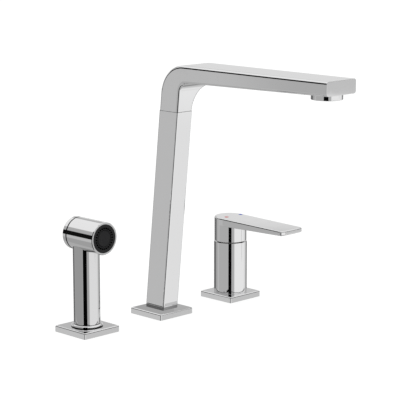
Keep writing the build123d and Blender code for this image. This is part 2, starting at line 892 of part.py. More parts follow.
# ---- cartridge
cartridge_bore = cartridge_radius - cartridge_wall
disc_floor = cartridge_floor + cartridge_base
ball_height = pivot_height - ball_drop
moving_bottom = disc_floor + disc_thickness + disc_gap
moving_top = moving_bottom + moving_disc_thickness
boss_top = ball_height + boss_cover
rotor_bottom = moving_top + rest_gap
rotor_top = rotor_bottom + rotor_base
lip_bottom = rotor_top + rest_gap
with BuildPart() as cartridge_housing:
    add(
        turned(
            valve_x,
            [
                (0, cartridge_floor),
                (cartridge_flange_radius, cartridge_floor),
                (cartridge_flange_radius, cartridge_floor + cartridge_flange),
                (cartridge_radius, cartridge_floor + cartridge_flange),
                (cartridge_radius, lip_bottom + cartridge_lip),
                (rotor_neck_radius + rest_gap, lip_bottom + cartridge_lip),
                (rotor_neck_radius + rest_gap, lip_bottom),
                (cartridge_bore, lip_bottom),
                (cartridge_bore, disc_floor),
                (0, disc_floor),
            ],
        ).part
    )
    with BuildSketch(Plane((valve_x, 0, cartridge_floor))):
        for angle in inlet_angles:
            with PolarLocations(inlet_circle, 1, start_angle=angle):
                Circle(disc_port_radius)
    extrude(amount=cartridge_base, mode=Mode.SUBTRACT)
    with BuildSketch(Plane((valve_x, 0, cartridge_floor))):
        for angle in inlet_angles:
            with PolarLocations(inlet_circle, 1, start_angle=angle):
                Circle(seal_ring_radius)
    extrude(amount=seal_ring_height, mode=Mode.SUBTRACT)
with BuildPart() as cartridge_seals:
    with BuildSketch(Plane((valve_x, 0, cartridge_floor))):
        for angle in inlet_angles:
            with PolarLocations(inlet_circle, 1, start_angle=angle):
                Circle(seal_ring_radius - fit_gap)
                Circle(channel_radius, mode=Mode.SUBTRACT)
    extrude(amount=seal_ring_height)
with BuildPart() as fixed_disc:
    with BuildSketch(Plane((valve_x, 0, disc_floor))):
        Circle(cartridge_bore - fit_gap)
        for angle in inlet_angles:
            with PolarLocations(inlet_circle, 1, start_angle=angle):
                Circle(disc_port_radius, mode=Mode.SUBTRACT)
    extrude(amount=disc_thickness)
cartridge_nut = flat_ring(
    valve_x,
    cartridge_radius + fit_gap,
    cartridge_flange_radius,
    cartridge_floor + cartridge_flange,
    cartridge_floor + cartridge_flange + cartridge_nut_height,
)
with BuildPart() as moving_disc:
    with BuildSketch(Plane((valve_x, 0, moving_bottom))):
        Circle(moving_disc_radius)
    extrude(amount=moving_disc_thickness)
    with BuildSketch(Plane((valve_x, 0, moving_top))):
        Circle(boss_radius)
    extrude(amount=boss_top - moving_top)
    with BuildSketch(Plane((valve_x, 0, ball_height - ball_radius - ball_gap))):
        Circle(ball_radius + ball_gap)
    extrude(amount=boss_top - ball_height + ball_radius + ball_gap, mode=Mode.SUBTRACT)
boss_slot = boss_radius + rest_gap
stem_slot = stem_hub_radius + rest_gap
slot_length = 2 * boss_slot + disc_travel
with BuildPart() as cartridge_rotor:
    with BuildSketch(Plane((valve_x, 0, rotor_bottom))):
        Circle(cartridge_bore - run_gap)
    extrude(amount=rotor_base)
    with BuildSketch(Plane((valve_x, 0, rotor_top))):
        Circle(rotor_neck_radius)
    extrude(amount=pivot_height + rotor_neck_top - rotor_top)
    with BuildSketch(Plane((valve_x, 0, rotor_bottom))):
        with Locations((0, -disc_travel / 2)):
            SlotOverall(slot_length, 2 * boss_slot, rotation=90)
    extrude(amount=boss_top + rest_gap - rotor_bottom, mode=Mode.SUBTRACT)
    with BuildSketch(Plane((valve_x, 0, rotor_bottom))):
        with Locations((0, -disc_travel / 2)):
            Rectangle(2 * stem_slot, slot_length)
    extrude(amount=rotor_base, mode=Mode.SUBTRACT)
    with BuildSketch(Plane((valve_x, 0, rotor_top))):
        Rectangle(2 * stem_slot, 4 * rotor_neck_radius)
    extrude(amount=pivot_height + rotor_neck_top - rotor_top, mode=Mode.SUBTRACT)
    with BuildSketch(Plane(origin=(valve_x - rotor_neck_radius, 0, pivot_height), z_dir=(1, 0, 0))):
        Circle(pin_radius)
    extrude(amount=2 * rotor_neck_radius, mode=Mode.SUBTRACT)
pin_half = rotor_neck_radius - fit_gap
with BuildPart() as pivot_pin:
    with BuildSketch(Plane(origin=(valve_x - pin_half, 0, pivot_height), z_dir=(1, 0, 0))):
        Circle(pin_radius)
    extrude(amount=2 * pin_half)


# ---- lever: round cap over the cartridge, with a flat blade to the user
def lever_top_at(y):
    """Height of the lever's sloping top face."""
    return lever_top + lever_fall * y


def lever_slab(low, high):
    """Space between two sloping planes, as wide as the lever and longer."""
    front = -1.5 * blade_reach
    back = 2 * cap_radius
    with BuildPart() as piece:
        with BuildSketch(Plane.YZ.offset(valve_x - 2 * cap_radius)):
            with BuildLine():
                Polyline(
                    (front, low(front)),
                    (back, low(back)),
                    (back, high(back)),
                    (front, high(front)),
                    close=True,
                )
            make_face()
        extrude(amount=4 * cap_radius)
    return piece


def lever_under_at(y):
    """Height of the blade's underside, which climbs to the tip."""
    return lever_under - lever_under_rise * y


cap_ceiling = lever_top - cap_roof
hub_bottom = pivot_height + hub_lift
with BuildPart() as lever_handle:
    with BuildSketch(Plane((valve_x, 0, pivot_height))) as blade_plan:
        Circle(cap_radius)
        with Locations((0, blade_tip_corner - blade_reach)):
            Rectangle(blade_tip_width, 2 * blade_tip_corner)
        make_hull()
        with Locations((0, blade_tip_bow - blade_reach)):
            Circle(blade_tip_bow, mode=Mode.INTERSECT)
        fillet(blade_plan.vertices().group_by(Axis.Y)[0], radius=blade_tip_corner)
    extrude(amount=2 * cap_radius)
    add(lever_slab(lever_under_at, lever_top_at).part, mode=Mode.INTERSECT)
    fillet(lever_handle.edges(), radius=lever_edge)
    with BuildSketch(Plane((valve_x, 0, cap_bottom))):
        Circle(cap_radius)
    extrude(amount=cap_ceiling - cap_bottom)
    with BuildSketch(Plane((valve_x, 0, cap_bottom))):
        Circle(cap_radius - cap_wall)
    extrude(amount=cap_ceiling - cap_bottom, mode=Mode.SUBTRACT)
    with BuildSketch(Plane((valve_x, 0, hub_bottom))):
        Circle(hub_radius)
        Circle(stem_top_radius + fit_gap, mode=Mode.SUBTRACT)
    extrude(amount=cap_ceiling - hub_bottom)
    with BuildSketch(Plane(origin=(valve_x, 0, lever_grub_height), z_dir=(0, 1, 0))):
        Circle(lever_grub_radius + fit_gap)
    extrude(amount=2 * cap_radius, mode=Mode.SUBTRACT)
    for mark_x, mark_y in (hot_mark_at, cold_mark_at):
        with BuildSketch(Plane((valve_x + mark_x, mark_y, lever_top_at(mark_y) - mark_depth))):
            Circle(mark_radius + fit_gap)
        extrude(amount=2 * mark_depth, mode=Mode.SUBTRACT)


def lever_mark(mark_x, mark_y):
    """Coloured disc let into the lever's top, flush with it."""
    with BuildPart() as piece:
        with BuildSketch(Plane((valve_x + mark_x, mark_y, lever_top_at(mark_y) - mark_depth))):
            Circle(mark_radius)
        extrude(amount=2 * mark_depth)
        add(lever_slab(lever_under_at, lever_top_at).part, mode=Mode.INTERSECT)
    return piece


hot_mark = lever_mark(*hot_mark_at)
cold_mark = lever_mark(*cold_mark_at)
with BuildPart() as cartridge_stem:
    with Locations((valve_x, 0, ball_height)):
        Sphere(ball_radius)
    with BuildSketch(Plane((valve_x, 0, ball_height))):
        Circle(stem_radius)
    extrude(amount=ball_drop)
    with BuildSketch(Plane(origin=(valve_x - stem_hub_radius, 0, pivot_height), z_dir=(1, 0, 0))):
        Circle(stem_hub_radius)
    extrude(amount=2 * stem_hub_radius)
    with BuildSketch(Plane((valve_x, 0, pivot_height))):
        Circle(stem_hub_radius)
    extrude(amount=hub_lift)
    with BuildSketch(Plane((valve_x, 0, hub_bottom))):
        Circle(stem_top_radius)
    extrude(amount=cap_ceiling - hub_bottom)
    with BuildSketch(Plane(origin=(valve_x - 2 * stem_hub_radius, 0, pivot_height), z_dir=(1, 0, 0))):
        Circle(pin_radius + run_gap)
    extrude(amount=4 * stem_hub_radius, mode=Mode.SUBTRACT)
with BuildPart() as lever_grub_screw:
    with BuildSketch(Plane(origin=(valve_x, stem_top_radius + fit_gap, lever_grub_height), z_dir=(0, 1, 0))):
        Circle(lever_grub_radius)
    extrude(amount=lever_grub_length)
    with BuildSketch(lever_grub_screw.faces().sort_by(Axis.Y)[-1]):
        RegularPolygon(lever_grub_radius / 2, 6)
    extrude(amount=-lever_grub_length / 2, mode=Mode.SUBTRACT)

pieces = {
    "spray_plate": spray_plate,
    "spray_plate_seal": spray_plate_seal,
    "spray_sleeve": spray_sleeve,
    "spray_liner": spray_liner,
    "spray_rubber_washer": spray_rubber_washer,
    "spray_steel_washer": spray_steel_washer,
    "spray_nut": spray_nut,
    "hose_nipple": hose_nipple,
    "handset_tail": handset_tail,
    "handset_check_valve": handset_check_valve,
    "handset_tube": handset_tube,
    "handset_handle": handset_handle,
    "spray_head": spray_head,
    "spray_face": spray_face,
    "spray_valve_cage": spray_valve_cage,
    "rear_collar": rear_collar,
    "spray_button": spray_button,
    "valve_plunger": valve_plunger,
    "button_spring": button_spring,
    "spout_plate": spout_plate,
    "spout_plate_seal": spout_plate_seal,
    "spout_shank": spout_shank,
    "spout_rubber_washer": spout_rubber_washer,
    "spout_steel_washer": spout_steel_washer,
    "spout_nut": spout_nut,
    "spout_o_rings": spout_o_rings,
    "diverter_body": diverter_body,
    "diverter_piston": diverter_piston,
    "spout_foot": spout_foot,
    "spout_socket": spout_socket,
    "swivel_bush": swivel_bush,
    "spout_grub_screw": spout_grub_screw,
    "spout_column": spout_column,
    "spout_coupler": spout_coupler,
    "spout_arm": spout_arm,
    "spout_water_tube": spout_water_tube,
    "aerator_socket": aerator_socket,
    "aerator_seal": aerator_seal,
    "aerator_housing": aerator_housing,
    "aerator_core": aerator_core,
    "valve_plate": valve_plate,
    "valve_plate_seal": valve_plate_seal,
    "valve_shank": valve_shank,
    "valve_body": valve_body,
    "valve_rubber_washer": valve_rubber_washer,
    "valve_steel_washer": valve_steel_washer,
    "valve_nut": valve_nut,
    "cartridge_housing": cartridge_housing,
    "cartridge_seals": cartridge_seals,
    "fixed_disc": fixed_disc,
    "cartridge_nut": cartridge_nut,
    "moving_disc": moving_disc,
    "cartridge_rotor": cartridge_rotor,
    "pivot_pin": pivot_pin,
    "lever_handle": lever_handle,
    "cartridge_stem": cartridge_stem,
    "lever_grub_screw": lever_grub_screw,
    "hot_mark": hot_mark,
    "cold_mark": cold_mark,
}
for name, piece in pieces.items():
    piece.part.label = name
    export_step(piece.part, f"parts/{name}.step")
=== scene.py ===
# Side spray kitchen faucet: looks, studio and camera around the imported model
import json
import math

import bmesh
import bpy
from mathutils import Matrix, Vector


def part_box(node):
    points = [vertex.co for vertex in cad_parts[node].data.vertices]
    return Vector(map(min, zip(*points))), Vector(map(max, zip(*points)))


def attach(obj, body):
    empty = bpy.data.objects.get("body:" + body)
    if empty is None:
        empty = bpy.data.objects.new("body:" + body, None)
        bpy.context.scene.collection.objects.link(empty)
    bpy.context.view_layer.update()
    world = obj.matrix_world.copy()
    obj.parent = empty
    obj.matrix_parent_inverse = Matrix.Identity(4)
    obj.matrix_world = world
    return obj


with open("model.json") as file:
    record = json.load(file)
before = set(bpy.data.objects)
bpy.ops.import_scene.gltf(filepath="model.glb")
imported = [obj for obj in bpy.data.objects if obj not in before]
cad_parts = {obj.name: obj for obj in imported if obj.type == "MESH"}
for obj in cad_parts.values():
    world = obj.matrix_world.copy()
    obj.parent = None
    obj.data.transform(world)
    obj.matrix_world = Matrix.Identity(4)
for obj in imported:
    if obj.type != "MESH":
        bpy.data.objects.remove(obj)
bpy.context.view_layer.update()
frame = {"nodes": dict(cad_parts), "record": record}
nodes = frame["nodes"]
scene = bpy.context.scene
scene.view_settings.view_transform = "Standard"
print("stage: packed model loaded,", len(nodes), "nodes")

# camera at the photograph's place: a long lens from the front left, a little above
cameraSetup = {
    "place": (-1.26684, -1.34539, 0.48506),
    "aim": (0.69302, 0.69597, -0.18801),
    "lens": 150.28,  # lens and sensor in millimetres
    "sensor": 36.0,
    "shiftX": -0.0173,
    "shiftY": -0.0004,
    "nearest": 0.05,
    "farthest": 200.0,
}


def placeCamera(setup):
    data = bpy.data.cameras.new("camera")
    data.lens = setup["lens"]
    data.sensor_width = setup["sensor"]
    data.shift_x = setup["shiftX"]
    data.shift_y = setup["shiftY"]
    data.clip_start = setup["nearest"]
    data.clip_end = setup["farthest"]
    camera = bpy.data.objects.new("camera", data)
    scene.collection.objects.link(camera)
    camera.location = setup["place"]
    camera.rotation_euler = Vector(setup["aim"]).to_track_quat("-Z", "Y").to_euler()
    scene.camera = camera


placeCamera(cameraSetup)
print("stage: camera placed")


# short forms for node trees
def newTree(holder):
    holder.use_nodes = True
    tree = holder.node_tree
    tree.nodes.clear()
    return tree


def addNode(tree, kind, sockets=None, **settings):
    # a socket takes a constant, or a link where it is given another node's socket
    node = tree.nodes.new(kind)
    for name, value in settings.items():
        setattr(node, name, value)
    for name, value in (sockets or {}).items():
        socket = node.inputs[name]
        if isinstance(value, bpy.types.NodeSocket):
            tree.links.new(value, socket)
        else:
            socket.default_value = value
    return node


def mathNode(tree, operation, first, second=0.0, clamp=False):
    node = addNode(tree, "ShaderNodeMath", {0: first, 1: second}, operation=operation, use_clamp=clamp)
    return node.outputs[0]


def vectorNode(tree, operation, *vectors):
    node = addNode(tree, "ShaderNodeVectorMath", dict(enumerate(vectors)), operation=operation)
    return node.outputs["Value" if operation in ("DOT_PRODUCT", "LENGTH") else "Vector"]


def mixLevels(tree, share, first, second):
    # a Mix node keeps its two numbers in sockets 2 and 3
    node = addNode(tree, "ShaderNodeMix", {0: share, 2: first, 3: second}, data_type="FLOAT")
    return node.outputs[0]


def mixColours(tree, share, first, second):
    # a Mix node keeps its two colours in sockets 6 and 7, and their mix in output 2
    node = addNode(tree, "ShaderNodeMix", {0: share, 6: first, 7: second}, data_type="RGBA")
    return node.outputs[2]


# the studio that the metal mirrors; the camera sees plain white, and dull pieces get plain light
# azimuths and heights are in degrees, and azimuth 0 is the camera's side and 90 its right
studio = {
    "front": (-0.7056, -0.7086, 0.0),
    "right": (0.7086, -0.7056, 0.0),
    "wall": 0.484,
    "fill": 0.85,
    "panels": [
        # name, centre, half width, soft edge, lowest, highest, soft edge, brightness
        ("ceiling", 0, 181, 1, 28.5, 91, 3, 0.95),
        ("backdrop", 180, 62, 12, -3, 13.55, 0.5, 0.805),
        ("backdropLow", 180, 62, 12, -3, 9, 3, 0.767),
        ("backMiddle", 181.7, 1.3, 0.5, 13.5, 24, 0.5, 0.423),
        ("backLeft", 190, 6.9, 0.4, 13.5, 24, 0.5, 0.545),
        ("backRight", 173.5, 6.9, 0.4, 13.3, 24, 0.5, 0.612),
        ("sideBack", 112, 26, 5, -46, 40, 4, 0.658),
        ("sideMiddle", 96, 29, 5, -38, 60, 8, 0.842),
        ("softbox", 68, 41, 9, -34, 91, 12, 0.955),
        ("lowSoftbox", 88, 8, 4, -40, -16.5, 1.5, 0.893),
        ("endWindow", 93, 4.4, 1.2, -7.25, -4.9, 0.2, 0.630),
        ("rimWindow", 86.2, 1.6, 0.6, -12.9, -11.4, 0.2, 0.545),
        ("leftWall", -93, 4.5, 3, -24, -5.9, 1, 0.578),
        ("backLow", -171, 51, 6, -26, -4, 4, 0.18),
        ("floorGap", 150, 45, 8, -91, -46, 4, 0.10),
        ("leftStrip", -88, 28, 4, -5.8, 13.6, 1.2, 0.006),
        ("rightStrip", 66, 59, 4, -4.4, 12.6, 1.2, 0.012),
        ("flag", -9.9, 17.0, 2, -91, 52, 4, 0.002),
    ],
}


def softSpan(tree, distance, reach, soft):
    # 1 within reach and 0 past it, with a soft edge between
    node = addNode(tree, "ShaderNodeMapRange", {"Value": distance, "From Min": reach + soft / 2,
                                                "From Max": reach - soft / 2},
                   interpolation_type="SMOOTHSTEP")
    return node.outputs["Result"]


def buildWorld(setup):
    world = bpy.data.worlds.new("studio")
    scene.world = world
    tree = newTree(world)
    ray = addNode(tree, "ShaderNodeTexCoord").outputs["Generated"]
    flat = vectorNode(tree, "NORMALIZE", vectorNode(tree, "MULTIPLY", ray, (1.0, 1.0, 0.0)))
    height = addNode(tree, "ShaderNodeSeparateXYZ", {0: ray}).outputs["Z"]
    height = mathNode(tree, "DEGREES", mathNode(tree, "ARCSINE", height))
    glow = setup["wall"]
    front, right = Vector(setup["front"]), Vector(setup["right"])
    for name, centre, half, softAzimuth, low, high, softHeight, level in setup["panels"]:
        turn = math.radians(centre)
        toPanel = front * math.cos(turn) + right * math.sin(turn)
        off = mathNode(tree, "ARCCOSINE", vectorNode(tree, "DOT_PRODUCT", flat, toPanel))
        across = softSpan(tree, mathNode(tree, "DEGREES", off), half, softAzimuth)
        rise = mathNode(tree, "ABSOLUTE", mathNode(tree, "SUBTRACT", height, (low + high) / 2))
        along = softSpan(tree, rise, (high - low) / 2, softHeight)
        glow = mixLevels(tree, mathNode(tree, "MULTIPLY", across, along), glow, level)
        glow.node.label = name
    path = addNode(tree, "ShaderNodeLightPath").outputs
    mirrored = mathNode(tree, "ADD", path["Is Glossy Ray"], path["Is Transmission Ray"], clamp=True)
    light = mixLevels(tree, mirrored, setup["fill"], glow)
    light = mixLevels(tree, path["Is Camera Ray"], light, 1.0)
    background = addNode(tree, "ShaderNodeBackground", {"Color": (1, 1, 1, 1), "Strength": light})
    output = addNode(tree, "ShaderNodeOutputWorld")
    tree.links.new(background.outputs[0], output.inputs["Surface"])


buildWorld(studio)


# flat glowing pieces round the faucet: the floor and the cards
def flatMesh(name, corners):
    mesh = bpy.data.meshes.new(name)
    mesh.from_pydata(corners, [], [(0, 1, 2, 3)])
    piece = bpy.data.objects.new(name, mesh)
    scene.collection.objects.link(piece)
    return piece


def glowMaterial(name, glow, shade=0.0):
    material = bpy.data.materials.new(name)
    tree = newTree(material)
    surface = addNode(tree, "ShaderNodeEmission", {"Color": (1, 1, 1, 1), "Strength": glow}).outputs[0]
    if shade:
        diffuse = addNode(tree, "ShaderNodeBsdfDiffuse", {"Color": (shade, shade, shade, 1)}).outputs[0]
        surface = addNode(tree, "ShaderNodeAddShader", {0: surface, 1: diffuse}).outputs[0]
    output = addNode(tree, "ShaderNodeOutputMaterial")
    tree.links.new(surface, output.inputs["Surface"])
    return material


# the floor: white, and a little darker where the faucet shades it; the metal doesn't mirror it
floorSetup = {"size": 120.0, "glow": 0.82, "shade": 0.30}


def buildFloor(setup):
    half = setup["size"] / 2
    floor = flatMesh("floor", [(-half, -half, 0), (half, -half, 0), (half, half, 0), (-half, half, 0)])
    floor.data.materials.append(glowMaterial("floorWhite", setup["glow"], setup["shade"]))
    floor.visible_glossy = False
    floor.visible_diffuse = False


buildFloor(floorSetup)

# upright grey and black cards for the metal to mirror, which nothing else sees
cardSetup = {
    "standing": [
        # name, middle, width, height, turn about the upright in degrees, brightness
        ("valveCard", (0.052, -0.002, 0.0431), 0.072, 0.086, 90, 0.484),
        ("handsetCard", (-0.160, 0.0345, 0.0446), 0.101, 0.089, 90, 0.410),
        ("leverCard", (0.1525, -0.1275, 0.081), 0.0445, 0.022, 45, 0.655),
        ("armCard", (-0.090, -0.050, 0.3380), 0.300, 0.056, 90, 0.002),
        ("leverEdgeCard", (0.0885, -0.043, 0.1005), 0.100, 0.006, 90, 0.002),
    ],
    # low cards left of and before each plate: pale for its sides, black for its upper edges
    "low": [
        # name, distance from the plate's middle, start, end, lowest, highest, brightness
        ("sideCard", 0.033, -0.019, 0.037, -0.0030, 0.0046, 0.636),
        ("edgeCard", 0.0258, -0.0255, 0.027, 0.0059, 0.0069, 0.004),
    ],
    "plateMiddles": {"spray": -0.112, "spout": 0.0, "valve": 0.112},
}


def buildCard(name, middle, width, height, turn, glow):
    across, up = width / 2, height / 2
    piece = flatMesh(name, [(-across, 0, -up), (across, 0, -up), (across, 0, up), (-across, 0, up)])
    piece.data.transform(Matrix.Translation(middle) @ Matrix.Rotation(math.radians(turn), 4, "Z"))
    piece.data.materials.append(glowMaterial(name + "Glow", glow))
    piece.visible_camera = False
    piece.visible_diffuse = False
    piece.visible_shadow = False
    piece.visible_transmission = False


def buildLowCards(station, x, rows):
    for name, off, start, end, low, high, glow in rows:
        along, up = (start + end) / 2, (low + high) / 2
        width, height = end - start, high - low
        buildCard(station + name + "Left", (x - off, along, up), width, height, turn=90, glow=glow)
        # the leaning column would mirror the black card before it
        if (station, name) != ("spout", "edgeCard"):
            buildCard(station + name + "Front", (x + along, -off, up), width, height, turn=0, glow=glow)


for row in cardSetup["standing"]:
    buildCard(*row)
for station, x in cardSetup["plateMiddles"].items():
    buildLowCards(station, x, cardSetup["low"])
print("stage: studio, floor and cards built")


# finishes: every one varies a little in colour, gloss and surface
noiseSpan = (0.3, 0.7)  # nearly all of a noise's values lie between these


def startMaterial(name, **sockets):
    material = bpy.data.materials.new(name)
    tree = newTree(material)
    shader = addNode(tree, "ShaderNodeBsdfPrincipled")
    for socket, value in sockets.items():
        shader.inputs[socket.replace("_", " ")].default_value = value
    output = addNode(tree, "ShaderNodeOutputMaterial")
    tree.links.new(shader.outputs[0], output.inputs["Surface"])
    place = addNode(tree, "ShaderNodeTexCoord").outputs["Object"]
    return material, tree, shader, place


def noiseNode(tree, place, scale, detail=2.0):
    node = addNode(tree, "ShaderNodeTexNoise", {"Vector": place, "Scale": scale, "Detail": detail})
    return node.outputs[0]


def roughnessFrom(tree, shader, value, low, high):
    node = addNode(tree, "ShaderNodeMapRange", {"Value": value, "From Min": noiseSpan[0],
                                                "From Max": noiseSpan[1], "To Min": low, "To Max": high})
    tree.links.new(node.outputs["Result"], shader.inputs["Roughness"])


def bumpFrom(tree, shader, value, strength, distance):
    node = addNode(tree, "ShaderNodeBump", {"Height": value, "Strength": strength, "Distance": distance})
    tree.links.new(node.outputs[0], shader.inputs["Normal"])


def tintFrom(tree, shader, value, dark, light):
    tree.links.new(mixColours(tree, value, dark + (1,), light + (1,)), shader.inputs["Base Color"])


# bright metals by name, two with painted shade: black painted between two heights, in a shadow gap or
# groove
chromeFinishes = {
    # tone, roughness, heights of the painted shade band
    "chrome": (0.81, (0.022, 0.045), None),
    # painted shade: a darker copy of the chrome, for the hand spray's handle
    "handleChromeWithPaintedShade": (0.72, (0.022, 0.045), None),
    # painted shadow: black under the hand spray's ring, in the shadow gap at its foot
    "ringChrome": (0.81, (0.022, 0.045), (0.0069, 0.0079)),
    # painted shade: black in the groove round the column's top
    "columnChrome": (0.81, (0.022, 0.045), (0.23500, 0.23555)),
    "footMetal": (0.33, (0.10, 0.18), None),
}
chromeSurface = {
    "toneSpread": 0.008,
    "bluer": 1.004,  # blue against red and green
    "patchScale": 18.0,  # noise scales: the larger, the finer
    "smearScale": 140.0,
    "rippleScale": 55.0,
    "rippleStrength": 0.02,
    "rippleDepth": 0.00002,
    # the black of the painted shade in gaps and grooves
    "paintedShadeBlack": (0.012, 0.012, 0.012, 1),
}


# paints the base colour black between two heights: painted shade in a gap or groove
def paintShadeBand(tree, shader, place, bottom, top, black):
    height = addNode(tree, "ShaderNodeSeparateXYZ", {0: place}).outputs["Z"]
    off = mathNode(tree, "ABSOLUTE", mathNode(tree, "SUBTRACT", height, (bottom + top) / 2))
    inside = mathNode(tree, "LESS_THAN", off, (top - bottom) / 2)
    tone = shader.inputs["Base Color"].links[0].from_socket
    tree.links.new(mixColours(tree, inside, tone, black), shader.inputs["Base Color"])


def makeChrome(name, tone, gloss, shadeBand, setup):
    material, tree, shader, place = startMaterial(name, Metallic=1.0)
    dark, light = tone - setup["toneSpread"], tone + setup["toneSpread"]
    patches = noiseNode(tree, place, setup["patchScale"])
    tintFrom(tree, shader, patches, (dark, dark, dark * setup["bluer"]),
             (light, light, light * setup["bluer"]))
    roughnessFrom(tree, shader, noiseNode(tree, place, setup["smearScale"], detail=4.0), *gloss)
    ripples = noiseNode(tree, place, setup["rippleScale"], detail=1.0)
    bumpFrom(tree, shader, ripples, setup["rippleStrength"], setup["rippleDepth"])
    if shadeBand:
        paintShadeBand(tree, shader, place, *shadeBand, setup["paintedShadeBlack"])
    return material


# brass of the shanks and fittings, with fine turning marks
brassFinish = {
    "dark": (0.55, 0.39, 0.16),
    "light": (0.72, 0.54, 0.27),
    "roughness": (0.24, 0.36),
    "patchScale": 90.0,
    "grainScale": 400.0,
    "ringScale": 900.0,
    "ringWander": 0.6,
    "ringStrength": 0.12,
    "ringDepth": 0.0002,
}


def makeBrass(setup):
    material, tree, shader, place = startMaterial("brass", Metallic=1.0)
    patches = noiseNode(tree, place, setup["patchScale"], detail=3.0)
    tintFrom(tree, shader, patches, setup["dark"], setup["light"])
    grain = noiseNode(tree, place, setup["grainScale"], detail=4.0)
    roughnessFrom(tree, shader, grain, *setup["roughness"])
    rings = addNode(tree, "ShaderNodeTexWave", {"Vector": place, "Scale": setup["ringScale"],
                                                "Distortion": setup["ringWander"]}, bands_direction="Z")
    bumpFrom(tree, shader, rings.outputs[1], setup["ringStrength"], setup["ringDepth"])
    return material


# brushed steel of the washers, screws and springs
steelFinish = {
    "dark": (0.50, 0.50, 0.51),
    "light": (0.60, 0.60, 0.61),
    "roughness": (0.22, 0.38),
    "patchScale": 70.0,
    "brushScale": (60.0, 1200.0, 60.0),
    "brushStrength": 0.15,
    "brushDepth": 0.0001,
}


def makeSteel(setup):
    material, tree, shader, place = startMaterial("steel", Metallic=1.0)
    patches = noiseNode(tree, place, setup["patchScale"], detail=3.0)
    tintFrom(tree, shader, patches, setup["dark"], setup["light"])
    stretched = addNode(tree, "ShaderNodeMapping", {"Vector": place, "Scale": setup["brushScale"]})
    brushed = noiseNode(tree, stretched.outputs[0], scale=1.0, detail=3.0)
    roughnessFrom(tree, shader, brushed, *setup["roughness"])
    bumpFrom(tree, shader, brushed, setup["brushStrength"], setup["brushDepth"])
    return material


# rubber, plastic, ceramic and paint
dullFinishes = {
    # name, darkest, lightest, roughness, grain scale, bump, mirror level
    "rubber": ("rubber", (0.016, 0.016, 0.017), (0.026, 0.026, 0.027), 0.78, 1400.0, 0.30, 0.5),
    # near-black: dark rubber together with painted shade standing for the nozzle openings
    "nozzleRubberAndShade": ("nozzleRubberAndShade", (0.0006, 0.0006, 0.0006), (0.0014, 0.0014, 0.0014),
                    0.80, 1800.0, 0.10, 0.02),
    "faceBlack": ("faceBlack", (0.011, 0.011, 0.012), (0.016, 0.016, 0.017), 0.40, 1800.0, 0.06, 0.18),
    "black_plastic": ("blackPlastic", (0.013, 0.013, 0.014), (0.019, 0.019, 0.020),
                      0.46, 1800.0, 0.12, 0.25),
    "pale_plastic": ("palePlastic", (0.70, 0.70, 0.67), (0.77, 0.77, 0.74), 0.42, 900.0, 0.06, 0.5),
    "ceramic": ("ceramic", (0.86, 0.85, 0.81), (0.92, 0.91, 0.88), 0.18, 1600.0, 0.02, 0.5),
    "hot_red": ("hotRed", (0.64, 0.014, 0.008), (0.72, 0.022, 0.014), 0.42, 900.0, 0.03, 0.08),
    "cold_blue": ("coldBlue", (0.035, 0.09, 0.50), (0.05, 0.12, 0.60), 0.42, 900.0, 0.03, 0.08),
}
dullSurface = {"grainsPerPatch": 8, "glossSpread": 0.05, "grainDepth": 0.0002}


def makeDull(name, dark, light, roughness, grainScale, bump, mirror, setup):
    material, tree, shader, place = startMaterial(name, Specular_IOR_Level=mirror)
    patches = noiseNode(tree, place, grainScale / setup["grainsPerPatch"], detail=3.0)
    tintFrom(tree, shader, patches, dark, light)
    grain = noiseNode(tree, place, grainScale, detail=3.0)
    roughnessFrom(tree, shader, grain, roughness - setup["glossSpread"], roughness + setup["glossSpread"])
    bumpFrom(tree, shader, grain, bump, setup["grainDepth"])
    return material


materials = {name: makeChrome(name, *row, chromeSurface) for name, row in chromeFinishes.items()}
materials["brass"] = makeBrass(brassFinish)
materials["steel"] = makeSteel(steelFinish)
materials.update({slot: makeDull(*row, dullSurface) for slot, row in dullFinishes.items()})

# pieces with a finish of their own; the others take their slot's
ownFinish = {
    # the handle takes the chrome copy with painted shade
    "handset_handle": "handleChromeWithPaintedShade",
    "spray_sleeve": "ringChrome",
    "spout_column": "columnChrome",
    "spout_foot": "footMetal",
    "spray_face": "faceBlack",
}
slotOf = {part["node"]: part["material_slot"] for part in frame["record"]["subparts"]}
for name, piece in nodes.items():
    material = materials[ownFinish.get(name, slotOf[name])]
    if not piece.material_slots:
        piece.data.materials.append(material)
    for materialSlot in piece.material_slots:
        materialSlot.material = material
print("stage: finishes on the packed nodes")

# what lies under the deck, and the tall spout, don't show in the metal beside them
mirrorSetup = {
    "deckTop": 0.0005,  # with half a millimetre to spare
    "unseen": {"valve_shank", "spout_shank", "spout_o_rings", "spout_foot", "spout_socket", "swivel_bush",
               "spout_grub_screw", "spout_column", "spout_coupler", "spout_arm", "spout_water_tube",
               "aerator_socket", "aerator_seal"},
}
for name, piece in nodes.items():
    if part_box(name)[1].z <= mirrorSetup["deckTop"] or name in mirrorSetup["unseen"]:
        piece.visible_glossy = False


# repeats: a tree that sets one small piece many times, made a plain mesh afterwards
def startGeometry(name, numbers):
    tree = bpy.data.node_groups.new(name, "GeometryNodeTree")
    tree.interface.new_socket("Geometry", in_out="INPUT", socket_type="NodeSocketGeometry")
    for label, value in numbers.items():
        kind = "NodeSocketInt" if isinstance(value, int) else "NodeSocketFloat"
        tree.interface.new_socket(label, in_out="INPUT", socket_type=kind)
    tree.interface.new_socket("Geometry", in_out="OUTPUT", socket_type="NodeSocketGeometry")
    return tree, addNode(tree, "NodeGroupInput").outputs


def endGeometry(tree, geometry, material):
    geometry = addNode(tree, "GeometryNodeRealizeInstances", {0: geometry}).outputs[0]
    geometry = addNode(tree, "GeometryNodeSetMaterial", {0: geometry, "Material": material}).outputs[0]
    addNode(tree, "NodeGroupOutput", {0: geometry})


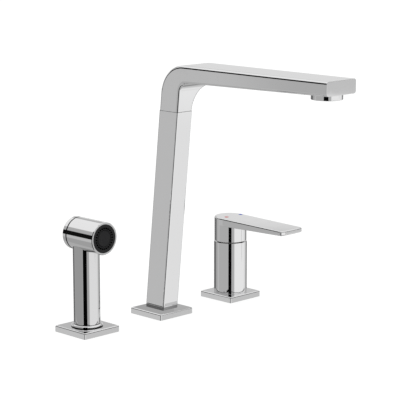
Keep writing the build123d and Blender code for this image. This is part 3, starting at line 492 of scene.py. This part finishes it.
def bakeGeometry(name, tree, numbers, material, place):
    holder = bpy.data.objects.new(name + "Maker", bpy.data.meshes.new(name + "Maker"))
    scene.collection.objects.link(holder)
    modifier = holder.modifiers.new(name, "NODES")
    modifier.node_group = tree
    for socket in tree.interface.items_tree:
        if socket.in_out == "INPUT" and socket.name in numbers:
            modifier[socket.identifier] = numbers[socket.name]
    evaluated = holder.evaluated_get(bpy.context.evaluated_depsgraph_get())
    mesh = bpy.data.meshes.new_from_object(evaluated)
    holder.modifiers.remove(modifier)
    bpy.data.objects.remove(holder)
    mesh.transform(place)
    mesh.name = name
    mesh.materials.clear()
    mesh.materials.append(material)
    piece = bpy.data.objects.new(name, mesh)
    scene.collection.objects.link(piece)
    return piece


def seedMesh(name, outline, around):
    # a small turned piece from points of radius and height, closed where it meets the axis
    form = bmesh.new()
    angles = [step * math.tau / around for step in range(around)]
    rows = []
    for radius, height in outline:
        if radius == 0:
            places = [(0, 0, height)]
        else:
            places = [(radius * math.cos(angle), radius * math.sin(angle), height) for angle in angles]
        rows.append([form.verts.new(place) for place in places])
    for low, high in zip(rows, rows[1:]):
        for step in range(around):
            after = (step + 1) % around
            corners = [low[step % len(low)], low[after % len(low)],
                       high[after % len(high)], high[step % len(high)]]
            form.faces.new(list(dict.fromkeys(corners)))
    bmesh.ops.recalc_face_normals(form, faces=form.faces)
    for face in form.faces:
        face.smooth = True
    mesh = bpy.data.meshes.new(name)
    form.to_mesh(mesh)
    form.free()
    seed = bpy.data.objects.new(name, mesh)
    scene.collection.objects.link(seed)
    return seed


# soft nozzles of the hand spray: one ring of rubber nubs round the plain middle of its face, near-black
# from dark rubber and painted shade of their openings
nozzleSetup = {
    "centre": (-0.112, -0.0300, 0.1082),
    "ring": 0.0113,
    "count": 24,
    "around": 14,
    # radius and height of one nub, from its sunk foot over its lip to the floor of its hole
    "outline": [(0.00092, -0.0004), (0.00092, 0.0001), (0.00078, 0.0006), (0.00062, 0.00092),
                (0.00044, 0.0010), (0.00034, 0.0009), (0.0003, 0.0003), (0, 0.0003)],
}


def buildNozzles(setup):
    seed = seedMesh("nozzleSeed", setup["outline"], setup["around"])
    numbers = {"Count": setup["count"], "Ring radius": setup["ring"]}
    tree, inputs = startGeometry("nozzleRing", numbers)
    ring = addNode(tree, "GeometryNodeMeshCircle", {"Vertices": inputs["Count"],
                                                    "Radius": inputs["Ring radius"]})
    nozzle = addNode(tree, "GeometryNodeObjectInfo", {"Object": seed})
    placed = addNode(tree, "GeometryNodeInstanceOnPoints", {"Points": ring.outputs[0],
                                                            "Instance": nozzle.outputs["Geometry"]})
    endGeometry(tree, placed.outputs[0], materials["nozzleRubberAndShade"])
    place = Matrix.Translation(setup["centre"]) @ Matrix.Rotation(math.radians(90), 4, "X")
    nozzles = bakeGeometry("sprayNozzles", tree, numbers, materials["nozzleRubberAndShade"], place)
    bpy.data.objects.remove(seed)
    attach(nozzles, "handset")
    return nozzles


# screen in the aerator's mouth: a comb of six-sided cells
screenSetup = {
    "centre": (0.01145, -0.2348),
    "lift": 0.0001,
    "radius": 0.0086,
    "pitch": 0.00135,
    "wall": 0.00012,
    "depth": 0.0009,
    "gridSpan": 2.4,  # side of the grid of cells in screen radii, before the round is cut
}


def combPoints(tree, pitch, side):
    # middles of the cells: two oblong grids, the second half a step off the first
    columns = mathNode(tree, "FLOOR", mathNode(tree, "DIVIDE", side, pitch))
    rise = mathNode(tree, "MULTIPLY", pitch, math.sqrt(3.0))
    lines = mathNode(tree, "FLOOR", mathNode(tree, "DIVIDE", side, rise))
    points = addNode(tree, "GeometryNodeJoinGeometry")
    for shift in (0.0, 0.5):
        grid = addNode(tree, "GeometryNodeMeshGrid", {
            "Size X": mathNode(tree, "MULTIPLY", mathNode(tree, "SUBTRACT", columns, 1.0), pitch),
            "Size Y": mathNode(tree, "MULTIPLY", mathNode(tree, "SUBTRACT", lines, 1.0), rise),
            "Vertices X": columns, "Vertices Y": lines})
        offset = addNode(tree, "ShaderNodeCombineXYZ", {"X": mathNode(tree, "MULTIPLY", pitch, shift),
                                                        "Y": mathNode(tree, "MULTIPLY", rise, shift)})
        moved = addNode(tree, "GeometryNodeSetPosition", {"Geometry": grid.outputs[0],
                                                          "Offset": offset.outputs[0]})
        tree.links.new(moved.outputs[0], points.inputs[0])
    return points.outputs[0]


def buildScreen(setup):
    numbers = {"Cell pitch": setup["pitch"], "Wall": setup["wall"], "Depth": setup["depth"],
               "Screen radius": setup["radius"]}
    tree, inputs = startGeometry("aeratorScreen", numbers)
    corner = mathNode(tree, "DIVIDE", inputs["Cell pitch"], math.sqrt(3.0))  # a cell's middle to its corner
    halfWall = mathNode(tree, "DIVIDE", inputs["Wall"], 2.0)
    cell = addNode(tree, "GeometryNodeCurvePrimitiveCircle", {"Resolution": 6}, mode="RADIUS")
    tree.links.new(mathNode(tree, "SUBTRACT", corner, halfWall), cell.inputs["Radius"])
    section = addNode(tree, "GeometryNodeCurvePrimitiveQuadrilateral", {"Width": inputs["Wall"],
                                                                        "Height": inputs["Depth"]})
    hexagon = addNode(tree, "GeometryNodeCurveToMesh", {"Curve": cell.outputs[0],
                                                        "Profile Curve": section.outputs[0]})
    side = mathNode(tree, "MULTIPLY", inputs["Screen radius"], setup["gridSpan"])
    points = combPoints(tree, inputs["Cell pitch"], side)
    spot = addNode(tree, "GeometryNodeInputPosition").outputs[0]
    distance = vectorNode(tree, "LENGTH", spot)
    room = mathNode(tree, "SUBTRACT", inputs["Screen radius"], corner)
    inside = addNode(tree, "FunctionNodeCompare", {0: distance, 1: room}, data_type="FLOAT",
                     operation="LESS_EQUAL").outputs[0]
    cells = addNode(tree, "GeometryNodeInstanceOnPoints", {"Points": points, "Selection": inside,
                                                           "Instance": hexagon.outputs[0]})
    endGeometry(tree, cells.outputs[0], materials["pale_plastic"])
    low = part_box("aerator_core")[0].z
    place = Matrix.Translation((*setup["centre"], low - setup["depth"] / 2 + setup["lift"]))
    screen = bakeGeometry("aeratorScreen", tree, numbers, materials["pale_plastic"], place)
    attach(screen, "spout")
    return screen


nozzles = buildNozzles(nozzleSetup)
print("stage: spray nozzles,", len(nozzles.data.polygons), "faces")
screen = buildScreen(screenSetup)
print("stage: aerator screen,", len(screen.data.polygons), "faces")


print("stage: done")
